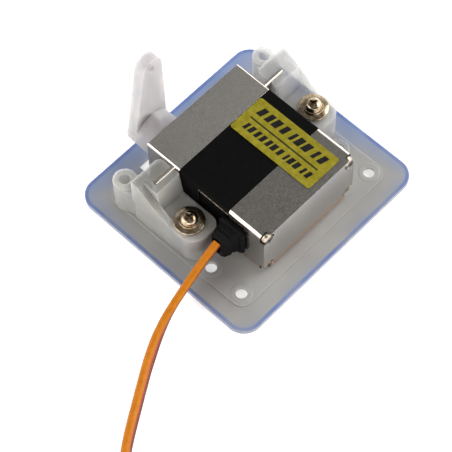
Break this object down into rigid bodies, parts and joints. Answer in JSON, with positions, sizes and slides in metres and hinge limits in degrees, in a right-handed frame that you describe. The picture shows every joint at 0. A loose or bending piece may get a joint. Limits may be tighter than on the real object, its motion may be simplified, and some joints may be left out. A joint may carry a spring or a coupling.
{
  "type": "hatch-mounted wing servo",
  "caption": "Small metal-cased servo lying on its side on a translucent screw-down hatch plate, held by milky brackets, with an upright arm and a flat three-wire lead.",
  "frame": {"origin": "centre of the hatch plate's outer face, the flat face that is away from the servo", "axes": "+Z out of the plate towards the servo, +Y the way the output shaft points, +X along the servo's width, to the right when looking along +Y"},
  "size_m": [0.0978, 0.096, 0.0273],
  "materials": {
    "hatch_plastic": "translucent milky polycarbonate, satin, bluish towards its edges",
    "bracket_plastic": "translucent milky injection moulding, satin",
    "arm_nylon": "natural fibre-filled nylon, slightly translucent",
    "case_aluminium": "machined and clear anodised, with bright chamfers",
    "case_black": "black anodised, satin",
    "screw_steel": "bright zinc-plated steel",
    "nickel_plate": "nickel plated, polished",
    "gear_brass": "turned brass",
    "motor_can": "drawn steel can",
    "sensor_plastic": "moulded plastic",
    "board_green": "solder-masked board",
    "label_foil": "printed foil label, olive yellow",
    "lead_jacket": "flat three-wire ribbon in orange, red and brown",
    "grommet_rubber": "moulded black rubber",
    "plug_plastic": "moulded black plastic"
  },
  "bodies": {
    "root": {"hatch_plate": "hatch_plastic", "left_bracket": "bracket_plastic", "left_bracket_washer": "nickel_plate", "left_bracket_screw": "nickel_plate", "right_bracket": "bracket_plastic", "right_bracket_washer": "nickel_plate", "right_bracket_screw": "nickel_plate", "gear_case": "case_aluminium", "middle_case": "case_black", "bottom_case": "case_aluminium", "case_screw_1": "screw_steel", "case_screw_2": "screw_steel", "case_screw_3": "screw_steel", "case_screw_4": "screw_steel", "label": "label_foil", "output_bearing": "screw_steel", "output_bush": "gear_brass", "gear_pin": "screw_steel", "motor": "motor_can", "position_sensor": "sensor_plastic", "circuit_board": "board_green", "inner_wires": "lead_jacket", "lead_grommet": "grommet_rubber", "lead": "lead_jacket", "lead_coil": "lead_jacket", "lead_plug": "plug_plastic"},
    "horn": {"servo_arm": "arm_nylon", "arm_screw": "screw_steel", "output_shaft": "gear_brass"},
    "third_gear": {"third_gear": "gear_brass"},
    "second_gear": {"second_gear": "gear_brass"},
    "first_gear": {"first_gear": "gear_brass"},
    "motor_rotor": {"motor_pinion": "gear_brass"}
  },
  "joints": [
    {"name": "arm_hinge", "type": "hinge", "parent": "root", "child": "horn", "pos_m": [-0.0061, 0, 0.008], "axis": [0, 1, 0], "range_deg": [-60, 60]},
    {"name": "third_gear_spin", "type": "hinge", "parent": "root", "child": "third_gear", "pos_m": [-0.00085, 0, 0.008], "axis": [0, 1, 0], "range_deg": [-192.5, 192.5]},
    {"name": "second_gear_spin", "type": "hinge", "parent": "root", "child": "second_gear", "pos_m": [-0.0061, 0, 0.008], "axis": [0, 1, 0], "range_deg": [-615, 615]},
    {"name": "first_gear_spin", "type": "hinge", "parent": "root", "child": "first_gear", "pos_m": [-0.00085, 0, 0.008], "axis": [0, 1, 0], "range_deg": [-1967, 1967]},
    {"name": "motor_spin", "type": "hinge", "parent": "root", "child": "motor_rotor", "pos_m": [0.00465, 0, 0.008], "axis": [0, 1, 0], "range_deg": [-6686, 6686]}
  ],
  "couplings": [
    {"joint": "third_gear_spin", "follows": "arm_hinge", "ratio": -3.2},
    {"joint": "second_gear_spin", "follows": "arm_hinge", "ratio": 10.24},
    {"joint": "first_gear_spin", "follows": "arm_hinge", "ratio": -32.768},
    {"joint": "motor_spin", "follows": "arm_hinge", "ratio": 111.41}
  ]
}
